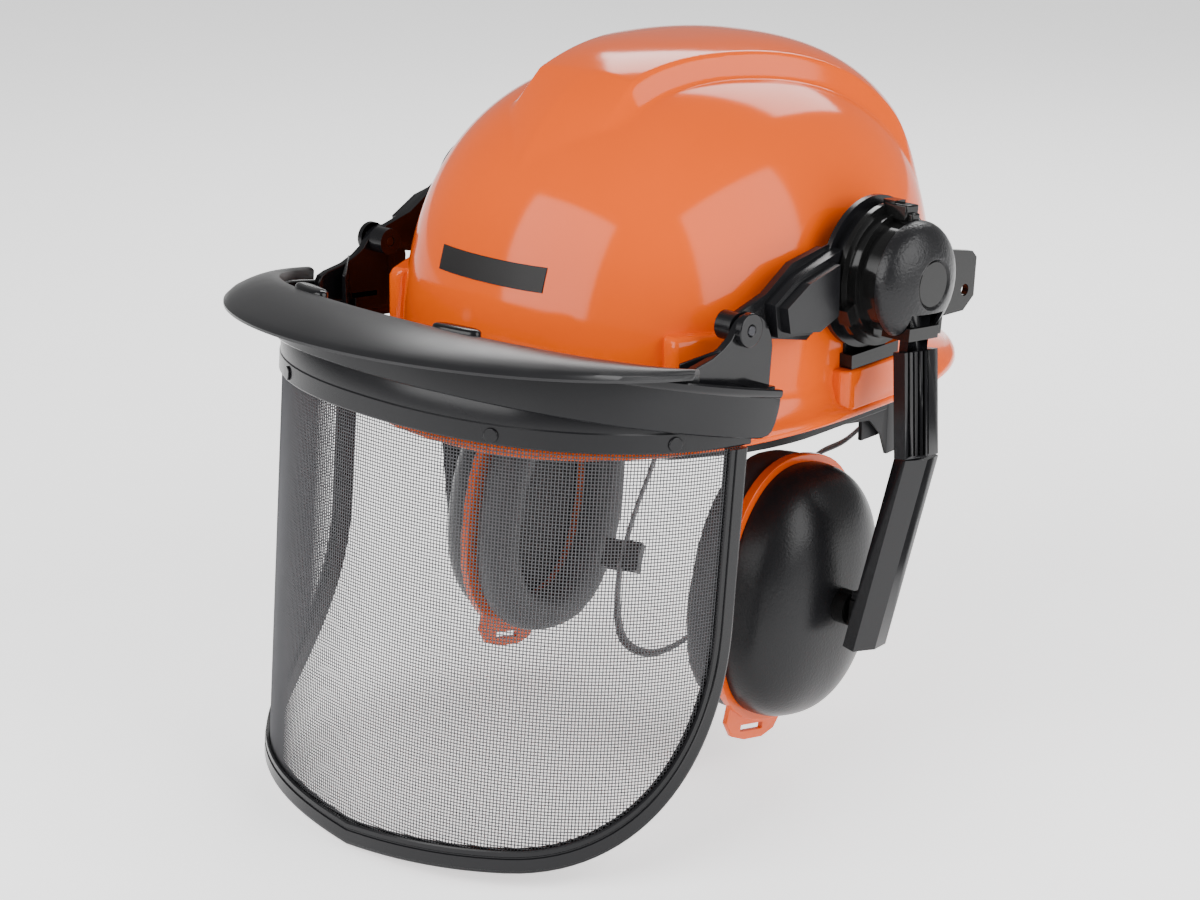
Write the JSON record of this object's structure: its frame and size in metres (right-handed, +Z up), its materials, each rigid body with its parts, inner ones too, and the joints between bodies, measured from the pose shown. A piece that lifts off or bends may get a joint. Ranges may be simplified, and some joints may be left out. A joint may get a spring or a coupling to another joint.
{
  "type": "forestry helmet",
  "caption": "Hard hat shell with head harness, lift-up mesh visor under a peak, and two hinged ear muffs on side arms.",
  "frame": {"origin": "middle of the headband opening, where the wearer's head sits", "axes": "+Z up, -Y toward the front (the visor), +X toward the wearer's left"},
  "size_m": [0.2682, 0.3379, 0.2913],
  "materials": {
    "shell_orange": "glossy",
    "label_black": "satin",
    "harness_black": "satin",
    "sweatband_fabric": "soft",
    "crown_webbing": "woven",
    "chin_elastic": "woven",
    "visor_gloss": "glossy",
    "peak_black": "semi-gloss",
    "steel": "brushed",
    "mesh_grey": "woven mesh",
    "trim_black": "satin",
    "hub_gloss": "glossy",
    "dome_grain": "fine grain",
    "arm_black": "satin",
    "cup_black": "fine grain satin",
    "ring_orange": "semi-gloss",
    "foam_black": "open foam",
    "cushion_black": "matte leatherette"
  },
  "bodies": {
    "helmet": {"shell": "shell_orange", "front_label": "label_black", "headband": "harness_black", "sweatband": "sweatband_fabric", "crown_strap_1": "crown_webbing", "crown_strap_2": "crown_webbing", "suspension_clips": "harness_black", "chin_strap": "chin_elastic", "chin_strap_slider": "harness_black", "chin_strap_hooks": "harness_black", "slot_adapter_left": "hub_gloss", "hub_screw_left": "steel", "slot_adapter_right": "hub_gloss", "hub_screw_right": "steel"},
    "visor_arms": {"visor_arm_left": "arm_black", "visor_arm_right": "arm_black"},
    "visor": {"visor_carrier": "visor_gloss", "hinge_pins": "steel", "peak": "peak_black", "peak_clips": "visor_gloss", "mesh_rail": "visor_gloss", "rail_studs": "visor_gloss", "mesh_screen": "mesh_grey", "mesh_edge_trim": "trim_black"},
    "nape_band": {"nape_band": "harness_black", "ratchet_housing": "harness_black"},
    "nape_knob": {"ratchet_knob": "harness_black"},
    "muff_hub_left": {"hub_drum_left": "hub_gloss", "hub_dome_left": "dome_grain", "hub_spring_left": "steel", "guide_pin_left": "steel"},
    "muff_guide_left": {"arm_guide_left": "hub_gloss"},
    "muff_arm_left": {"muff_arm_left": "arm_black", "knuckle_pin_left": "steel"},
    "cup_knuckle_left": {"cup_knuckle_left": "hub_gloss"},
    "ear_cup_left": {"cup_boss_left": "hub_gloss", "cup_shell_left": "cup_black", "cup_ring_left": "ring_orange", "cup_foam_left": "foam_black", "cup_cushion_left": "cushion_black"},
    "muff_hub_right": {"hub_drum_right": "hub_gloss", "hub_dome_right": "dome_grain", "hub_spring_right": "steel", "guide_pin_right": "steel"},
    "muff_guide_right": {"arm_guide_right": "hub_gloss"},
    "muff_arm_right": {"muff_arm_right": "arm_black", "knuckle_pin_right": "steel"},
    "cup_knuckle_right": {"cup_knuckle_right": "hub_gloss"},
    "ear_cup_right": {"cup_boss_right": "hub_gloss", "cup_shell_right": "cup_black", "cup_ring_right": "ring_orange", "cup_foam_right": "foam_black", "cup_cushion_right": "cushion_black"}
  },
  "joints": [
    {"name": "visor_lift", "type": "hinge", "parent": "helmet", "child": "visor_arms", "pos_m": [0, 0.008, 0.046], "axis": [-1, 0, 0], "range_deg": [0, 105]},
    {"name": "visor_tilt", "type": "hinge", "parent": "visor_arms", "child": "visor", "pos_m": [0, -0.0705, 0.0395], "axis": [-1, 0, 0], "range_deg": [0, 40]},
    {"name": "nape_slide", "type": "slide", "parent": "helmet", "child": "nape_band", "axis": [0, 1, 0], "range_m": [-0.012, 0.008]},
    {"name": "nape_knob_turn", "type": "hinge", "parent": "nape_band", "child": "nape_knob", "pos_m": [0, 0.115, -0.03], "axis": [0, 1, 0], "range_deg": [-90, 60]},
    {"name": "muff_turn_left", "type": "hinge", "parent": "helmet", "child": "muff_hub_left", "pos_m": [0.1042, 0.008, 0.046], "axis": [-1, 0, 0], "range_deg": [-5, 8]},
    {"name": "muff_spread_left", "type": "hinge", "parent": "muff_hub_left", "child": "muff_guide_left", "pos_m": [0.1168, 0.00654, 0.03208], "axis": [0, -0.9945, 0.1045], "range_deg": [0, 18], "stiffness_Nm_per_rad": 2, "springref_deg": -17.19},
    {"name": "muff_height_left", "type": "slide", "parent": "muff_guide_left", "child": "muff_arm_left", "axis": [0, 0.1045, 0.9945], "range_m": [-0.02, 0.003]},
    {"name": "cup_swivel_left", "type": "hinge", "parent": "muff_arm_left", "child": "cup_knuckle_left", "pos_m": [0.1099, -0.00622, -0.08926], "axis": [0, 0.1045, 0.9945], "range_deg": [-6, 6]},
    {"name": "cup_tilt_left", "type": "hinge", "parent": "cup_knuckle_left", "child": "ear_cup_left", "pos_m": [0.1045, -0.00622, -0.08926], "axis": [0, 0.9945, -0.1045], "range_deg": [-6, 6]},
    {"name": "muff_turn_right", "type": "hinge", "parent": "helmet", "child": "muff_hub_right", "pos_m": [-0.1042, 0.008, 0.046], "axis": [-1, 0, 0], "range_deg": [-5, 8]},
    {"name": "muff_spread_right", "type": "hinge", "parent": "muff_hub_right", "child": "muff_guide_right", "pos_m": [-0.1168, 0.00654, 0.03208], "axis": [0, 0.9945, -0.1045], "range_deg": [0, 18], "stiffness_Nm_per_rad": 2, "springref_deg": -17.19},
    {"name": "muff_height_right", "type": "slide", "parent": "muff_guide_right", "child": "muff_arm_right", "axis": [0, 0.1045, 0.9945], "range_m": [-0.02, 0.003]},
    {"name": "cup_swivel_right", "type": "hinge", "parent": "muff_arm_right", "child": "cup_knuckle_right", "pos_m": [-0.1099, -0.00622, -0.08926], "axis": [0, 0.1045, 0.9945], "range_deg": [-6, 6]},
    {"name": "cup_tilt_right", "type": "hinge", "parent": "cup_knuckle_right", "child": "ear_cup_right", "pos_m": [-0.1045, -0.00622, -0.08926], "axis": [0, 0.9945, -0.1045], "range_deg": [-6, 6]}
  ],
  "couplings": [
    {"joint": "nape_knob_turn", "follows": "nape_slide", "rad_per_m": 125}
  ]
}
